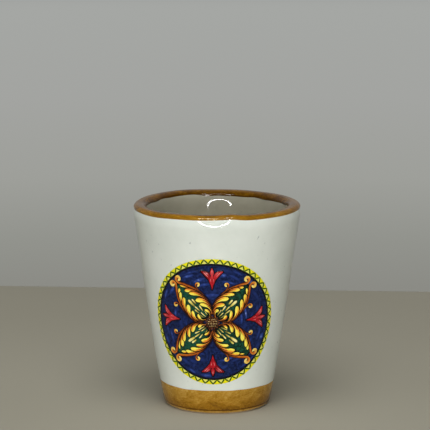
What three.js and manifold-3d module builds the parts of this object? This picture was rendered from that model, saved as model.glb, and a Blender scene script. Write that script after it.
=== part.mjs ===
// A souvenir shot glass in glazed earthenware: a slip-cast clay cup, its white glaze inside and out,
// an amber band over the lip and another round the foot, and a round transfer of fired enamels on
// the front. The clay carries the shape, and every coat is a thin closed shell lying on it.
//
// Millimetres, +Z up. The origin is the centre of the foot ring, on the surface the cup stands on.
// The front, with the medallion, faces -Y.
import * as THREE from "three";
import { mergeVertices } from "three/addons/utils/BufferGeometryUtils.js";
import Module from "manifold-3d";

const wasm = await Module();
wasm.setup();

// Driving dimensions of the finished, glazed cup.
const HEIGHT = 60;
const RIM_RADIUS = 24.6;
const FOOT_RADIUS = 15.9; // at the top of the foot's bevel
const WALL = 3.9; // at the lip
const FLOOR_HEIGHT = 5.4; // of the cavity's floor
const GLAZE = 0.3; // every coat of glaze
const WALL_BOW = 0.4; // how far the outer wall swells past a straight cone

// The lip. Outside, a slow shoulder turns into a tight round. Inside, a tight round turns into a
// slow throat, which runs into the cavity's straight wall.
const SHOULDER_ROUND = 10;
const SHOULDER_END = 10; // degrees above level, where the shoulder gives way to the round
const LIP_OUTER_ROUND = 1;
const LIP_INNER_ROUND = 1.9;
const THROAT_START = 25; // degrees above level, where the round gives way to the throat
const THROAT_ROUND = 11;

// The foot is a bare clay ring round a glazed recess, with a small bevel outside.
const BEVEL_HEIGHT = 1.15;
const BEVEL_DEPTH = 0.7;
const BARE_HEIGHT = 0.25; // of the clay left showing under the band
const RING_WIDTH = 3.0;
const RECESS_DEPTH = 1.5;
const RECESS_ROUND = 0.9;

// The cavity narrows to a rounded bottom.
const CAVITY_LEAN = 7.9; // degrees, of its straight wall
const CAVITY_ROUND = 4.5;

// Where the amber bands end: the foot's on the wall, the rim's on the outer round and in the throat.
const FOOT_BAND_TOP = 7.5;
const RIM_BAND_OUTER = 18; // degrees above level on the outer round
const RIM_BAND_INNER = 24; // degrees above level in the throat

// The medallion, measured on the wall as if unrolled.
const MEDALLION_HEIGHT = 28.5; // of its centre
const MEDALLION_RADIUS = 19.1;
const FIELD_RADIUS = 17.5; // of the blue ground inside the border
const ENAMEL = 0.1; // each printed layer
const ENAMEL_GAP = 0.02; // under each printed layer

const SEGMENTS = 48; // facets round the cup
const ROUND_STEPS = 3; // facets on each rounded edge
const WALL_STEPS = 6; // rows on the bowed outer wall

// ---- The profile -----------------------------------------------------------------------------

const point = (r, z) => new THREE.Vector2(r, z);
const turn = (degrees) => THREE.MathUtils.degToRad(degrees);

// Points on an arc in the profile plane, from one angle to the other.
const onCircle = (centre, radius, angle) =>
  point(
    centre.x + radius * Math.cos(angle),
    centre.y + radius * Math.sin(angle),
  );
const arc = (centre, radius, from, to, steps = ROUND_STEPS) =>
  Array.from({ length: steps + 1 }, (_, i) =>
    onCircle(centre, radius, from + ((to - from) * i) / steps),
  );

// The shoulder's circle touches the widest radius, and the outer round sits inside it.
const shoulderEnd = turn(SHOULDER_END);
const lipOuterCentre = point(
  RIM_RADIUS -
    SHOULDER_ROUND +
    (SHOULDER_ROUND - LIP_OUTER_ROUND) * Math.cos(shoulderEnd),
  HEIGHT - LIP_OUTER_ROUND,
);
const shoulderCentre = onCircle(
  lipOuterCentre,
  LIP_OUTER_ROUND - SHOULDER_ROUND,
  shoulderEnd,
);

// The outer wall is a cone from the foot's bevel to the shoulder, with a slight swell.
const WALL_ANGLE = Math.atan(
  (RIM_RADIUS - FOOT_RADIUS) / (shoulderCentre.y - BEVEL_HEIGHT),
);
const wallTop = onCircle(shoulderCentre, SHOULDER_ROUND, -WALL_ANGLE);
const WALL_SLOPE =
  (wallTop.x - FOOT_RADIUS) / (wallTop.y - BEVEL_HEIGHT);
function outerRadius(z) {
  const t = (z - BEVEL_HEIGHT) / (wallTop.y - BEVEL_HEIGHT);
  const swell = 6.75 * t * (1 - t) * (1 - t); // 1 at a third of the height, 0 at both ends
  return FOOT_RADIUS + WALL_SLOPE * (z - BEVEL_HEIGHT) + WALL_BOW * swell;
}

const wallRows = Array.from({ length: WALL_STEPS + 1 }, (_, i) => {
  const z = FOOT_BAND_TOP + ((wallTop.y - FOOT_BAND_TOP) * i) / WALL_STEPS;
  return point(outerRadius(z), z);
});

// The throat's circle touches the inner round from outside it and ends in the straight wall.
const cavityLean = turn(CAVITY_LEAN);
const throatStart = Math.PI - turn(THROAT_START);
const throatEnd = Math.PI - cavityLean;
const lipInnerCentre = point(
  RIM_RADIUS - WALL + LIP_INNER_ROUND,
  HEIGHT - LIP_INNER_ROUND,
);
const throatCentre = onCircle(
  lipInnerCentre,
  LIP_INNER_ROUND - THROAT_ROUND,
  throatStart,
);
const cavityTop = onCircle(throatCentre, THROAT_ROUND, throatEnd);
const cavityRadius = (z) =>
  cavityTop.x - Math.tan(cavityLean) * (cavityTop.y - z);
const cavityCentre = point(
  cavityRadius(FLOOR_HEIGHT + CAVITY_ROUND) -
    CAVITY_ROUND / Math.cos(cavityLean),
  FLOOR_HEIGHT + CAVITY_ROUND,
);

// The finished surface in five stretches, each covered by one coat, from the recess under the foot
// up the outside, over the lip and down to the middle of the cavity's floor.
const ringOuter = FOOT_RADIUS - BEVEL_DEPTH;
const ringInner = ringOuter - RING_WIDTH;
const recessSkin = [
  point(0, RECESS_DEPTH),
  ...arc(
    point(ringInner - RECESS_ROUND, RECESS_DEPTH - RECESS_ROUND),
    RECESS_ROUND,
    Math.PI / 2,
    0,
  ),
];
const bevel = new THREE.QuadraticBezierCurve(
  point(ringOuter, BARE_HEIGHT),
  point(FOOT_RADIUS - BEVEL_DEPTH / 4, BEVEL_HEIGHT / 2),
  point(FOOT_RADIUS, BEVEL_HEIGHT),
);
const footSkin = [
  ...bevel.getPoints(ROUND_STEPS),
  point(outerRadius(FOOT_BAND_TOP), FOOT_BAND_TOP),
];
const bandOuter = turn(RIM_BAND_OUTER);
const bandInner = Math.PI - turn(RIM_BAND_INNER);
const outerSkin = [
  ...wallRows,
  ...arc(shoulderCentre, SHOULDER_ROUND, -WALL_ANGLE, shoulderEnd).slice(1),
  onCircle(lipOuterCentre, LIP_OUTER_ROUND, bandOuter),
];
const rimSkin = [
  ...arc(lipOuterCentre, LIP_OUTER_ROUND, bandOuter, Math.PI / 2),
  ...arc(lipInnerCentre, LIP_INNER_ROUND, Math.PI / 2, throatStart),
  onCircle(throatCentre, THROAT_ROUND, bandInner),
];
const cavitySkin = [
  rimSkin.at(-1).clone(),
  ...arc(throatCentre, THROAT_ROUND, bandInner, throatEnd).slice(1),
  ...arc(
    cavityCentre,
    CAVITY_ROUND,
    -cavityLean,
    -Math.PI / 2,
    2 * ROUND_STEPS,
  ),
  point(0, FLOOR_HEIGHT),
];

// The same points moved into the clay by the depth of a coat. The clay lies to the left of the
// path on the way from the recess to the cavity, and on the axis a point only moves along it.
function underCoat(skin, depth) {
  return skin.map((p, i) => {
    const before = skin[Math.max(i - 1, 0)];
    const after = skin[Math.min(i + 1, skin.length - 1)];
    const along = after.clone().sub(before).normalize();
    const moved = point(p.x - along.y * depth, p.y + along.x * depth);
    return p.x === 0 ? point(0, moved.y) : moved;
  });
}

// One coat per stretch. Neighbouring coats share the point where they meet, above and below.
const wholeSkin = [footSkin, outerSkin, rimSkin, cavitySkin].flatMap(
  (skin, i) => (i ? skin.slice(1) : skin),
);
const wholeBed = underCoat(wholeSkin, GLAZE);
const recessBed = underCoat(recessSkin, GLAZE);
function bedUnder(skin) {
  const start = wholeSkin.findIndex((p) => p.equals(skin[0]));
  return wholeBed.slice(start, start + skin.length);
}

// ---- Solids ----------------------------------------------------------------------------------

// A closed solid of revolution. The profile runs anticlockwise round its own material and is
// closed back to its first point unless both its ends are on the axis.
function turned(profile) {
  const open = profile[0].x === 0 && profile.at(-1).x === 0;
  const outline = open ? profile : [...profile, profile[0].clone()];
  const geometry = new THREE.LatheGeometry(outline, SEGMENTS);
  return geometry.rotateX(Math.PI / 2);
}

const coat = (skin, bed) => turned([...skin, ...[...bed].reverse()]);

function toManifold(geometry) {
  const bare = new THREE.BufferGeometry();
  bare.setAttribute("position", geometry.getAttribute("position").clone());
  if (geometry.index) bare.setIndex(geometry.index.clone());
  const merged = mergeVertices(bare, 1e-4);
  return new wasm.Manifold(
    new wasm.Mesh({
      numProp: 3,
      vertProperties: merged.attributes.position.array,
      triVerts: new Uint32Array(merged.index.array),
    }),
  );
}

function toGeometry(solid) {
  const mesh = solid.getMesh();
  const geometry = new THREE.BufferGeometry();
  geometry.setAttribute(
    "position",
    new THREE.BufferAttribute(new Float32Array(mesh.vertProperties), 3),
  );
  geometry.setIndex(new THREE.BufferAttribute(mesh.triVerts, 1));
  const flat = geometry.toNonIndexed();
  flat.computeVertexNormals();
  return flat;
}

// ---- Materials -------------------------------------------------------------------------------

function finish(color, roughness) {
  return new THREE.MeshStandardMaterial({ color, roughness, metalness: 0 });
}
const bareClay = finish(0xd9c3a5, 0.9);
const whiteGlaze = finish(0xe4e4d8, 0.12);
const amberGlaze = finish(0xa8701c, 0.18);
const yellowEnamel = finish(0xe6e01e, 0.2);
const blueEnamel = finish(0x16205e, 0.2);
const leafEnamel = finish(0xe09a2c, 0.2);
const redEnamel = finish(0xc02432, 0.2);
const brownEnamel = finish(0x5a3218, 0.2);

// ---- The cup and its coats -------------------------------------------------------------------

const cup = new THREE.Group();
function place(name, geometry, material) {
  const mesh = new THREE.Mesh(geometry, material);
  mesh.name = name;
  cup.add(mesh);
}

// The clay fills everything under the coats and shows only on the foot ring.
const clayProfile = [
  ...recessBed,
  recessSkin.at(-1),
  point(ringInner + BARE_HEIGHT, 0),
  point(ringOuter - BARE_HEIGHT, 0),
  footSkin[0],
  ...wholeBed,
];
place("clay_body", turned(clayProfile), bareClay);
place("underside_glaze", coat(recessSkin, recessBed), whiteGlaze);
place("foot_band", coat(footSkin, bedUnder(footSkin)), amberGlaze);
place("outer_glaze", coat(outerSkin, bedUnder(outerSkin)), whiteGlaze);
place("rim_band", coat(rimSkin, bedUnder(rimSkin)), amberGlaze);
place("inner_glaze", coat(cavitySkin, bedUnder(cavitySkin)), whiteGlaze);

// ---- The medallion ---------------------------------------------------------------------------

// The wall unrolled: x is the distance round the cup from the front, y the distance up the slope
// from the medallion's centre. A flat transfer keeps its shape on this unrolled cone.
const APEX_DEPTH = FOOT_RADIUS / WALL_SLOPE - BEVEL_HEIGHT;
const CENTRE_SLANT = (MEDALLION_HEIGHT + APEX_DEPTH) / Math.cos(WALL_ANGLE);

// Where an unrolled point lies, seen square on from the front.
function seenFromFront(flat) {
  const slant = Math.hypot(flat.x, CENTRE_SLANT + flat.y);
  const turn =
    Math.atan2(flat.x, CENTRE_SLANT + flat.y) / Math.sin(WALL_ANGLE);
  const z = slant * Math.cos(WALL_ANGLE) - APEX_DEPTH;
  return point(outerRadius(z) * Math.sin(turn), z);
}

// A ring of enamel of one layer's depth, lying on the outer glaze or on the layers before it.
function enamelRing(layer) {
  const lift = (height) => underCoat(wallRows, -height);
  const low = layer * (ENAMEL + ENAMEL_GAP) + ENAMEL_GAP;
  return toManifold(coat(lift(low + ENAMEL), lift(low)));
}
const layers = [0, 1, 2].map(enamelRing);

// One printed area: the part of a layer's ring inside an outline drawn on the unrolled wall.
function printed(layer, outline, hole = null) {
  const shape = new THREE.Shape(outline.map(seenFromFront));
  if (hole) shape.holes.push(new THREE.Path(hole.map(seenFromFront)));
  const reach = 2 * RIM_RADIUS;
  const cutter = new THREE.ExtrudeGeometry(shape, {
    depth: reach,
    bevelEnabled: false,
  });
  cutter.rotateX(Math.PI / 2);
  return toGeometry(layers[layer].intersect(toManifold(cutter)));
}

const circle = (radius, centre = point(0, 0), steps = 72) =>
  Array.from({ length: steps }, (_, i) => {
    const angle = (2 * Math.PI * i) / steps;
    return point(
      centre.x + radius * Math.cos(angle),
      centre.y + radius * Math.sin(angle),
    );
  });

place(
  "medallion_border",
  printed(0, circle(MEDALLION_RADIUS), circle(FIELD_RADIUS + ENAMEL_GAP)),
  yellowEnamel,
);
place("medallion_ground", printed(0, circle(FIELD_RADIUS)), blueEnamel);

// A shape drawn outwards along the x axis, turned to an angle about the medallion's centre. Each
// shape is symmetrical, so only one side of it is listed, from its inner end to its outer one.
function mirroredAndTurned(side, angle) {
  const other = side.filter((p) => p.y > 0).map((p) => point(p.x, -p.y));
  return [...side, ...other.reverse()].map((p) =>
    p.rotateAround(point(0, 0), angle),
  );
}

// An acanthus leaf: a broad blade that narrows to two curled tips, with a small curl on each side.
const BLADE = [
  point(2.6, 1.1),
  point(4.2, 2.9),
  point(6.4, 3.7),
  point(9.0, 3.75),
];
const SHOULDER = [point(12.4, 2.9), point(14.2, 1.9), point(15.3, 1.6)];
const SIDE_CURL = { centre: point(11.0, 4.5), radius: 0.85 };
const TIP_CURL = { centre: point(16.5, 1.4), radius: 1.05 };
const TIP_NOTCH = point(15.0, 0);

function leafSide() {
  const blade = new THREE.SplineCurve(BLADE).getPoints(10);
  const sideCurl = arc(SIDE_CURL.centre, SIDE_CURL.radius, turn(200), turn(-70), 8);
  const shoulder = new THREE.SplineCurve(SHOULDER).getPoints(4);
  const tipCurl = arc(TIP_CURL.centre, TIP_CURL.radius, turn(160), turn(-110), 8);
  return [...blade, ...sideCurl, ...shoulder, ...tipCurl, TIP_NOTCH.clone()];
}
const leafAngles = {
  leaf_upper_right: 45,
  leaf_upper_left: 135,
  leaf_lower_left: 225,
  leaf_lower_right: 315,
};
for (const [name, degrees] of Object.entries(leafAngles))
  place(
    name,
    printed(1, mirroredAndTurned(leafSide(), turn(degrees))),
    leafEnamel,
  );

// A fleuron of three petals, its point towards the centre.
const fleuronSide = () => [
  point(10.0, 0),
  point(12.6, 0.75),
  point(14.0, 1.7),
  point(15.3, 3.0),
  point(15.2, 1.9),
  point(14.6, 0.85),
  point(15.4, 0.6),
  point(16.2, 0),
];
const fleuronAngles = {
  fleuron_right: 0,
  fleuron_top: 90,
  fleuron_left: 180,
  fleuron_bottom: 270,
};
for (const [name, degrees] of Object.entries(fleuronAngles))
  place(
    name,
    printed(1, mirroredAndTurned(fleuronSide(), turn(degrees))),
    redEnamel,
  );

const SEED_HEAD_RADIUS = 1.9;
place("seed_head", printed(1, circle(SEED_HEAD_RADIUS, point(0, 0), 24)), brownEnamel);

export default cup;
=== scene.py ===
"""The look of a glazed earthenware shot glass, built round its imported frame.

Sizes are millimetres in the cup's own frame, and each mesh is written in metres. The cup stands on
Z = 0 with its axis on Z, and its medallion faces -Y.
"""

import math

import bpy
import numpy as np
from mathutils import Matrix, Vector


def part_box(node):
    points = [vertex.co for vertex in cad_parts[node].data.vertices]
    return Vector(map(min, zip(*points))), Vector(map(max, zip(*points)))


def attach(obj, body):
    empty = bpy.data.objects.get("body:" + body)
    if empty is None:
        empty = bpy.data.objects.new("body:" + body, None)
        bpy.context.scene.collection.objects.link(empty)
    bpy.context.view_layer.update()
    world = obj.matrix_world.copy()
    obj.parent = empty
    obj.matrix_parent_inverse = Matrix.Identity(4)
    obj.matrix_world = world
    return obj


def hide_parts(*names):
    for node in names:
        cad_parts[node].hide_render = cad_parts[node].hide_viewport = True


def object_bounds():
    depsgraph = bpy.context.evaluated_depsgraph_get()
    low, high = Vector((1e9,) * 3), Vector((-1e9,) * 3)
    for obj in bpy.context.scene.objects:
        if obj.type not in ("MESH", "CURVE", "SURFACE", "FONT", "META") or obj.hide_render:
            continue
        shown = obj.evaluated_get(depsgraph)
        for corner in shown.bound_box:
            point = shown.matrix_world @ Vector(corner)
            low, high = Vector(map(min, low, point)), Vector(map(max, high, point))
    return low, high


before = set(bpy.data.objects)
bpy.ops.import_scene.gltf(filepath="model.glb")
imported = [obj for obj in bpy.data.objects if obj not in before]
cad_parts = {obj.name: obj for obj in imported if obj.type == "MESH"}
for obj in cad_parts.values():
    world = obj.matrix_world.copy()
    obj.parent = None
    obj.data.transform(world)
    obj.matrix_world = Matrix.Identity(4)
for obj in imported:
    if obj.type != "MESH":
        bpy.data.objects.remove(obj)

cad_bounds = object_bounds()


# ---- Clay body --------------------------------------------------------------------------------
# Buff earthenware, slip-cast in a plaster mould, dried and biscuit fired. It carries the whole
# shape, and stays bare only on the ring that the cup stands on.

MM = 0.001  # in metres, which the frame and the meshes are in
AROUND = 288  # points round a turned coat
CENTRE_HOLE = 0.4  # the radius on the axis that a fan closes
GLAZE = 0.3  # the thickness of each coat of glaze, which the clay leaves room for

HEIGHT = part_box("rim_band")[1].z / MM
RIM_RADIUS = cad_bounds[1].x / MM
CAVITY_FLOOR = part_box("inner_glaze")[0].z / MM + GLAZE
RECESS_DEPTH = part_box("underside_glaze")[1].z / MM - GLAZE

FOOT_RADIUS = 15.9  # at the top of the foot's bevel
BEVEL_HEIGHT = 1.15
BEVEL_DEPTH = 0.7
BARE_HEIGHT = 0.25  # of the clay left showing under the amber
RING_WIDTH = 3.0
RECESS_ROUND = 0.9
WALL_SWELL = 0.4

SHOULDER_ROUND = 10.0
SHOULDER_END = 10.0  # degrees above level, where the shoulder gives way to the lip's round
LIP_OUTER_ROUND = 1.0
LIP_INNER_ROUND = 1.9
LIP_WIDTH = 3.9
THROAT_ROUND = 11.0
THROAT_START = 155.0  # degrees, counted from level outside, where the lip gives way to the throat
CAVITY_LEAN = 7.9  # degrees, of the inside wall from upright
CAVITY_ROUND = 4.5


def on_circle(centre, radius, degrees):
    """The point at that angle on a circle in the profile plane of radius and height."""
    angle = np.radians(degrees)
    return np.stack(
        [centre[0] + radius * np.cos(angle), centre[1] + radius * np.sin(angle)], -1
    )


def arc(centre, radius, start, end, steps=16):
    """Points on a circle from one angle to another, both in degrees."""
    return on_circle(centre, radius, np.linspace(start, end, steps + 1))


lip_outer = (
    RIM_RADIUS
    - SHOULDER_ROUND
    + (SHOULDER_ROUND - LIP_OUTER_ROUND) * math.cos(math.radians(SHOULDER_END)),
    HEIGHT - LIP_OUTER_ROUND,
)
shoulder = on_circle(lip_outer, LIP_OUTER_ROUND - SHOULDER_ROUND, SHOULDER_END)
WALL_LEAN = math.degrees(
    math.atan((RIM_RADIUS - FOOT_RADIUS) / (shoulder[1] - BEVEL_HEIGHT))
)
wall_top = on_circle(shoulder, SHOULDER_ROUND, -WALL_LEAN)
WALL_SLOPE = (wall_top[0] - FOOT_RADIUS) / (wall_top[1] - BEVEL_HEIGHT)

lip_inner = (RIM_RADIUS - LIP_WIDTH + LIP_INNER_ROUND, HEIGHT - LIP_INNER_ROUND)
throat = on_circle(lip_inner, LIP_INNER_ROUND - THROAT_ROUND, THROAT_START)
cavity_top = on_circle(throat, THROAT_ROUND, 180 - CAVITY_LEAN)


def wall_radius(z):
    """A cone up the outer wall, plus a swell t (1 - t)^2 that is fullest a third of the way up."""
    t = (z - BEVEL_HEIGHT) / (wall_top[1] - BEVEL_HEIGHT)
    return (
        FOOT_RADIUS
        + WALL_SLOPE * (z - BEVEL_HEIGHT)
        + WALL_SWELL * 6.75 * t * (1 - t) ** 2
    )


def cavity_radius(z):
    """The straight cone of the inside wall, below the throat."""
    return cavity_top[0] - math.tan(math.radians(CAVITY_LEAN)) * (cavity_top[1] - z)


cavity_corner = (
    cavity_radius(CAVITY_FLOOR + CAVITY_ROUND)
    - CAVITY_ROUND / math.cos(math.radians(CAVITY_LEAN)),
    CAVITY_FLOOR + CAVITY_ROUND,
)
ring_outer = FOOT_RADIUS - BEVEL_DEPTH
ring_inner = ring_outer - RING_WIDTH

# The finished surface in stretches, from the foot up the outside, over the lip and down inside.
bend = np.linspace(0, 1, 13)[:, None]
bevel = (
    (1 - bend) ** 2 * np.array([ring_outer, BARE_HEIGHT])
    + 2 * bend * (1 - bend) * np.array([FOOT_RADIUS - BEVEL_DEPTH / 4, BEVEL_HEIGHT / 2])
    + bend**2 * np.array([FOOT_RADIUS, BEVEL_HEIGHT])
)
wall_heights = np.linspace(BEVEL_HEIGHT, wall_top[1], 90)[1:]
outside = np.vstack(
    [
        bevel,
        np.stack([wall_radius(wall_heights), wall_heights], -1),
        arc(shoulder, SHOULDER_ROUND, -WALL_LEAN, SHOULDER_END, 24)[1:],
        arc(lip_outer, LIP_OUTER_ROUND, SHOULDER_END, 90)[1:],
    ]
)
inside = np.vstack(
    [
        arc(lip_inner, LIP_INNER_ROUND, 90, THROAT_START),
        arc(throat, THROAT_ROUND, THROAT_START, 180 - CAVITY_LEAN)[1:],
        np.linspace(cavity_top, on_circle(cavity_corner, CAVITY_ROUND, -CAVITY_LEAN), 40)[1:],
        arc(cavity_corner, CAVITY_ROUND, -CAVITY_LEAN, -90)[1:],
        np.linspace([cavity_corner[0], CAVITY_FLOOR], [CENTRE_HOLE, CAVITY_FLOOR], 12)[1:],
    ]
)
recess = np.vstack(
    [
        np.linspace([CENTRE_HOLE, RECESS_DEPTH], [ring_inner - RECESS_ROUND, RECESS_DEPTH], 8),
        arc(
            (ring_inner - RECESS_ROUND, RECESS_DEPTH - RECESS_ROUND), RECESS_ROUND, 90, 0
        )[1:],
    ]
)


def outward(profile):
    """The unit normal of a profile on the side away from the clay, which is its direction turned
    clockwise."""
    along = np.gradient(profile, axis=0)
    along /= np.linalg.norm(along, axis=1, keepdims=True)
    return np.stack([along[:, 1], -along[:, 0]], -1)


def turned(profile):
    """A profile swept round the Z axis: one ring of points for each profile point."""
    angle = np.linspace(0, 2 * np.pi, AROUND, endpoint=False)
    radius = profile[:, 0, None]
    height = np.broadcast_to(profile[:, 1, None], (len(profile), AROUND))
    return np.stack([radius * np.sin(angle), -radius * np.cos(angle), height], -1)


def smooth_step(x):
    """0 below 0 and 1 above 1, with the curve 3x^2 - 2x^3 between."""
    x = np.clip(x, 0, 1)
    return x * x * (3 - 2 * x)


def wander(waves, turn):
    """A sum of slow waves round the cup, each given as a count, a size and a phase."""
    return sum(size * np.sin(count * turn + phase) for count, size, phase in waves)


LIP_WAVES = ((2, 0.09, 0.6), (3, 0.07, 2.6), (5, 0.05, 1.1), (9, 0.03, 0.2))
LIP_HUMP = (0.26, 0.24, 0.11)  # height in mm, then place and half width in radians from the front
LIP_FADE = 9  # how far below the lip the unevenness is felt
OUT_OF_ROUND = ((2, 0.0015, 0.9), (3, 0.001, 0.0))  # in parts of the radius


def settled(points):
    """The unevenness of a cast and fired cup: the lip rises and falls by a few slow waves and one
    small hump, and the whole cup is very slightly out of round."""
    turn = np.arctan2(points[..., 0], -points[..., 1])
    height, place, width = LIP_HUMP
    rise = wander(LIP_WAVES, turn) + height * np.exp(-(((turn - place) / width) ** 2))
    near_lip = smooth_step((points[..., 2] - HEIGHT + LIP_FADE) / LIP_FADE)
    out_of_round = 1 + wander(OUT_OF_ROUND, turn)
    return np.stack(
        [
            points[..., 0] * out_of_round,
            points[..., 1] * out_of_round,
            points[..., 2] + near_lip * rise,
        ],
        -1,
    )


def skin(rings, loop=False, marks=None):
    """Rings of points joined into one closed surface. In a loop the last ring meets the first;
    otherwise a fan closes each end. marks are three numbers for each point that materials read."""
    rows, columns, _ = rings.shape
    index = np.arange(rows * columns).reshape(rows, columns)
    points = rings.reshape(-1, 3)
    marks = np.zeros_like(points) if marks is None else marks.reshape(-1, 3)
    following = np.roll(index, -1, axis=0) if loop else index[1:]
    here = index if loop else index[:-1]
    quads = np.stack(
        [here, np.roll(here, -1, 1), np.roll(following, -1, 1), following], -1
    ).reshape(-1, 4)
    fans = np.zeros((0, 3), int)
    if not loop:
        ends = index[[0, -1]]
        points = np.vstack([points, rings[[0, -1]].mean(1)])
        marks = np.vstack([marks, marks[ends].mean(1)])
        first = np.full(columns, rows * columns)
        fans = np.vstack(
            [
                np.stack([np.roll(ends[0], -1), ends[0], first], -1),
                np.stack([ends[1], np.roll(ends[1], -1), first + 1], -1),
            ]
        )
    a, b, c, d = (points[quads[:, k]] for k in range(4))
    volume = np.einsum("ij,ij->i", np.cross(b - a, c - a), a).sum()
    volume += np.einsum("ij,ij->i", np.cross(c - a, d - a), a).sum()
    if len(fans):
        e, f, g = (points[fans[:, k]] for k in range(3))
        volume += np.einsum("ij,ij->i", np.cross(f - e, g - e), e).sum()
    if volume < 0:
        quads, fans = quads[:, ::-1], fans[:, ::-1]
    return points, quads, fans, marks


def make_piece(name, skins, finish, nodes, sharp=50):
    """One object of closed skins, riding on the cup's body and standing for the named CAD nodes."""
    starts = np.cumsum([0] + [len(s[0]) for s in skins])
    quads = np.vstack([s[1] + start for s, start in zip(skins, starts)])
    fans = np.vstack([s[2] + start for s, start in zip(skins, starts)])
    points = np.vstack([s[0] for s in skins]) * MM
    mesh = bpy.data.meshes.new(name)
    mesh.from_pydata(points.tolist(), [], quads.tolist() + fans.tolist())
    marks = mesh.attributes.new("marks", "FLOAT_VECTOR", "POINT")
    marks.data.foreach_set("vector", np.vstack([s[3] for s in skins]).ravel())
    mesh.polygons.foreach_set("use_smooth", np.ones(len(mesh.polygons), bool))
    mesh.set_sharp_from_angle(angle=math.radians(sharp))
    mesh.materials.append(finish)
    piece = bpy.data.objects.new(name, mesh)
    bpy.context.scene.collection.objects.link(piece)
    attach(piece, "root")
    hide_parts(*nodes)
    return piece


def paint(red, green, blue):
    """An 8-bit sRGB colour as the linear values that a shader takes, with full alpha."""
    c = np.array([red, green, blue]) / 255
    linear = np.where(c <= 0.04045, c / 12.92, ((c + 0.055) / 1.055) ** 2.4)
    return (*linear.tolist(), 1.0)


def add(tree, kind, inputs=None, **settings):
    """A shader node with its settings. Its inputs are values or other nodes' outputs."""
    node = tree.nodes.new(kind)
    for key, value in settings.items():
        setattr(node, key, value)
    for key, value in (inputs or {}).items():
        if isinstance(value, bpy.types.NodeSocket):
            tree.links.new(value, node.inputs[key])
        else:
            node.inputs[key].default_value = value
    return node


def new_finish(name, **sockets):
    """A material with its shader's constant sockets set. Returns it, its tree and its shader."""
    material = bpy.data.materials.new(name)
    material.use_nodes = True
    tree = material.node_tree
    shader = tree.nodes["Principled BSDF"]
    for key, value in sockets.items():
        shader.inputs[key.replace("_", " ")].default_value = value
    return material, tree, shader


def noise(tree, scale, detail=3.0, roughness=0.5, stretch=(1, 1, 1), distortion=0.0):
    """Noise on Object coordinates. scale is in features for each metre, stretch in parts of it."""
    place = add(tree, "ShaderNodeTexCoord").outputs["Object"]
    mapped = add(tree, "ShaderNodeMapping", {"Vector": place, "Scale": stretch})
    texture = add(
        tree,
        "ShaderNodeTexNoise",
        {
            "Vector": mapped.outputs[0],
            "Scale": scale,
            "Detail": detail,
            "Roughness": roughness,
            "Distortion": distortion,
        },
    )
    return texture.outputs[0]


def ramp(tree, factor, *stops):
    """Colours or greys laid out along a factor, each stop a place from 0 to 1 and a colour."""
    node = add(tree, "ShaderNodeValToRGB", {"Fac": factor})
    elements = node.color_ramp.elements
    for place, _ in stops[2:]:
        elements.new(place)
    for element, (place, colour) in zip(elements, stops):
        element.position = place
        element.color = colour if isinstance(colour, tuple) else (colour, colour, colour, 1)
    return node.outputs[0]


def blend(tree, factor, first, second, mode="MIX"):
    """Two colours mixed by a factor."""
    node = add(tree, "ShaderNodeMix", data_type="RGBA", blend_type=mode)
    for socket, value in zip((0, 6, 7), (factor, first, second)):
        if isinstance(value, bpy.types.NodeSocket):
            tree.links.new(value, node.inputs[socket])
        else:
            node.inputs[socket].default_value = value
    return node.outputs[2]


def relief(tree, shader, height, distance, strength):
    """A height, in parts of distance in metres, felt as bump."""
    bump = add(
        tree,
        "ShaderNodeBump",
        {"Height": height, "Distance": distance, "Strength": strength},
    )
    tree.links.new(bump.outputs[0], shader.inputs["Normal"])


bare_clay, tree, shader = new_finish("bare_clay")
grain = noise(tree, 2600, detail=4, roughness=0.65)
cloud = noise(tree, 160, detail=2)
clay_tone = ramp(tree, grain, (0.3, paint(176, 148, 112)), (0.7, paint(214, 190, 154)))
clay_wear = ramp(tree, cloud, (0.35, 0.78), (0.65, 1.0))
tree.links.new(blend(tree, 0.8, clay_tone, clay_wear, "MULTIPLY"), shader.inputs["Base Color"])
tree.links.new(ramp(tree, grain, (0.2, 0.72), (0.8, 0.95)), shader.inputs["Roughness"])
relief(tree, shader, grain, 0.00012, 0.6)

foot_ring = np.array([[ring_inner + BARE_HEIGHT, 0.0], [ring_outer - BARE_HEIGHT, 0.0]])
clay_skin = np.vstack(
    [
        recess - outward(recess) * GLAZE,
        recess[-1:],
        np.linspace(foot_ring[0], foot_ring[1], 6),
        outside[:1],
        outside - outward(outside) * GLAZE,
        inside - outward(inside) * GLAZE,
    ]
)
make_piece(
    "clay_cup", [skin(settled(turned(clay_skin)))], bare_clay, ["clay_body"], 35
)


# ---- White glaze ------------------------------------------------------------------------------
# Opaque milky tin glaze, dipped and fired glossy. It pools a little, so its face has slow waves
# and a few blue-grey specks. Inside, its copy is painted greyer and darker, as painted shade in the
# cup's hollow.

def coat(profile):
    """A closed shell of glaze whose outer face is a stretch of the cup's surface."""
    under = profile - outward(profile) * GLAZE
    return skin(settled(turned(np.vstack([profile, under[::-1]]))), loop=True)


def white_glaze(name, clear, dull, specks):
    """Glossy white with cloudy patches of a duller white, small specks and a waved face."""
    material, tree, shader = new_finish(name, IOR=1.5)
    cloud = noise(tree, 85, detail=4, roughness=0.6)
    milk = ramp(tree, cloud, (0.32, dull), (0.66, clear))
    dots = noise(tree, 1100, detail=1, roughness=0.3)
    speck = ramp(tree, dots, (0.0, 0.0), (0.735, 0.0), (0.79, 1.0))
    cluster = ramp(tree, noise(tree, 190, detail=1), (0.42, 0.0), (0.62, specks))
    speckled = blend(tree, 1.0, speck, cluster, "MULTIPLY")
    colour = blend(tree, speckled, milk, paint(120, 132, 136))
    tree.links.new(colour, shader.inputs["Base Color"])
    tree.links.new(
        ramp(tree, noise(tree, 420, detail=2), (0.3, 0.03), (0.7, 0.07)),
        shader.inputs["Roughness"],
    )
    relief(tree, shader, noise(tree, 120, detail=1, roughness=0.4), 0.0001, 0.2)
    return material


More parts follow.
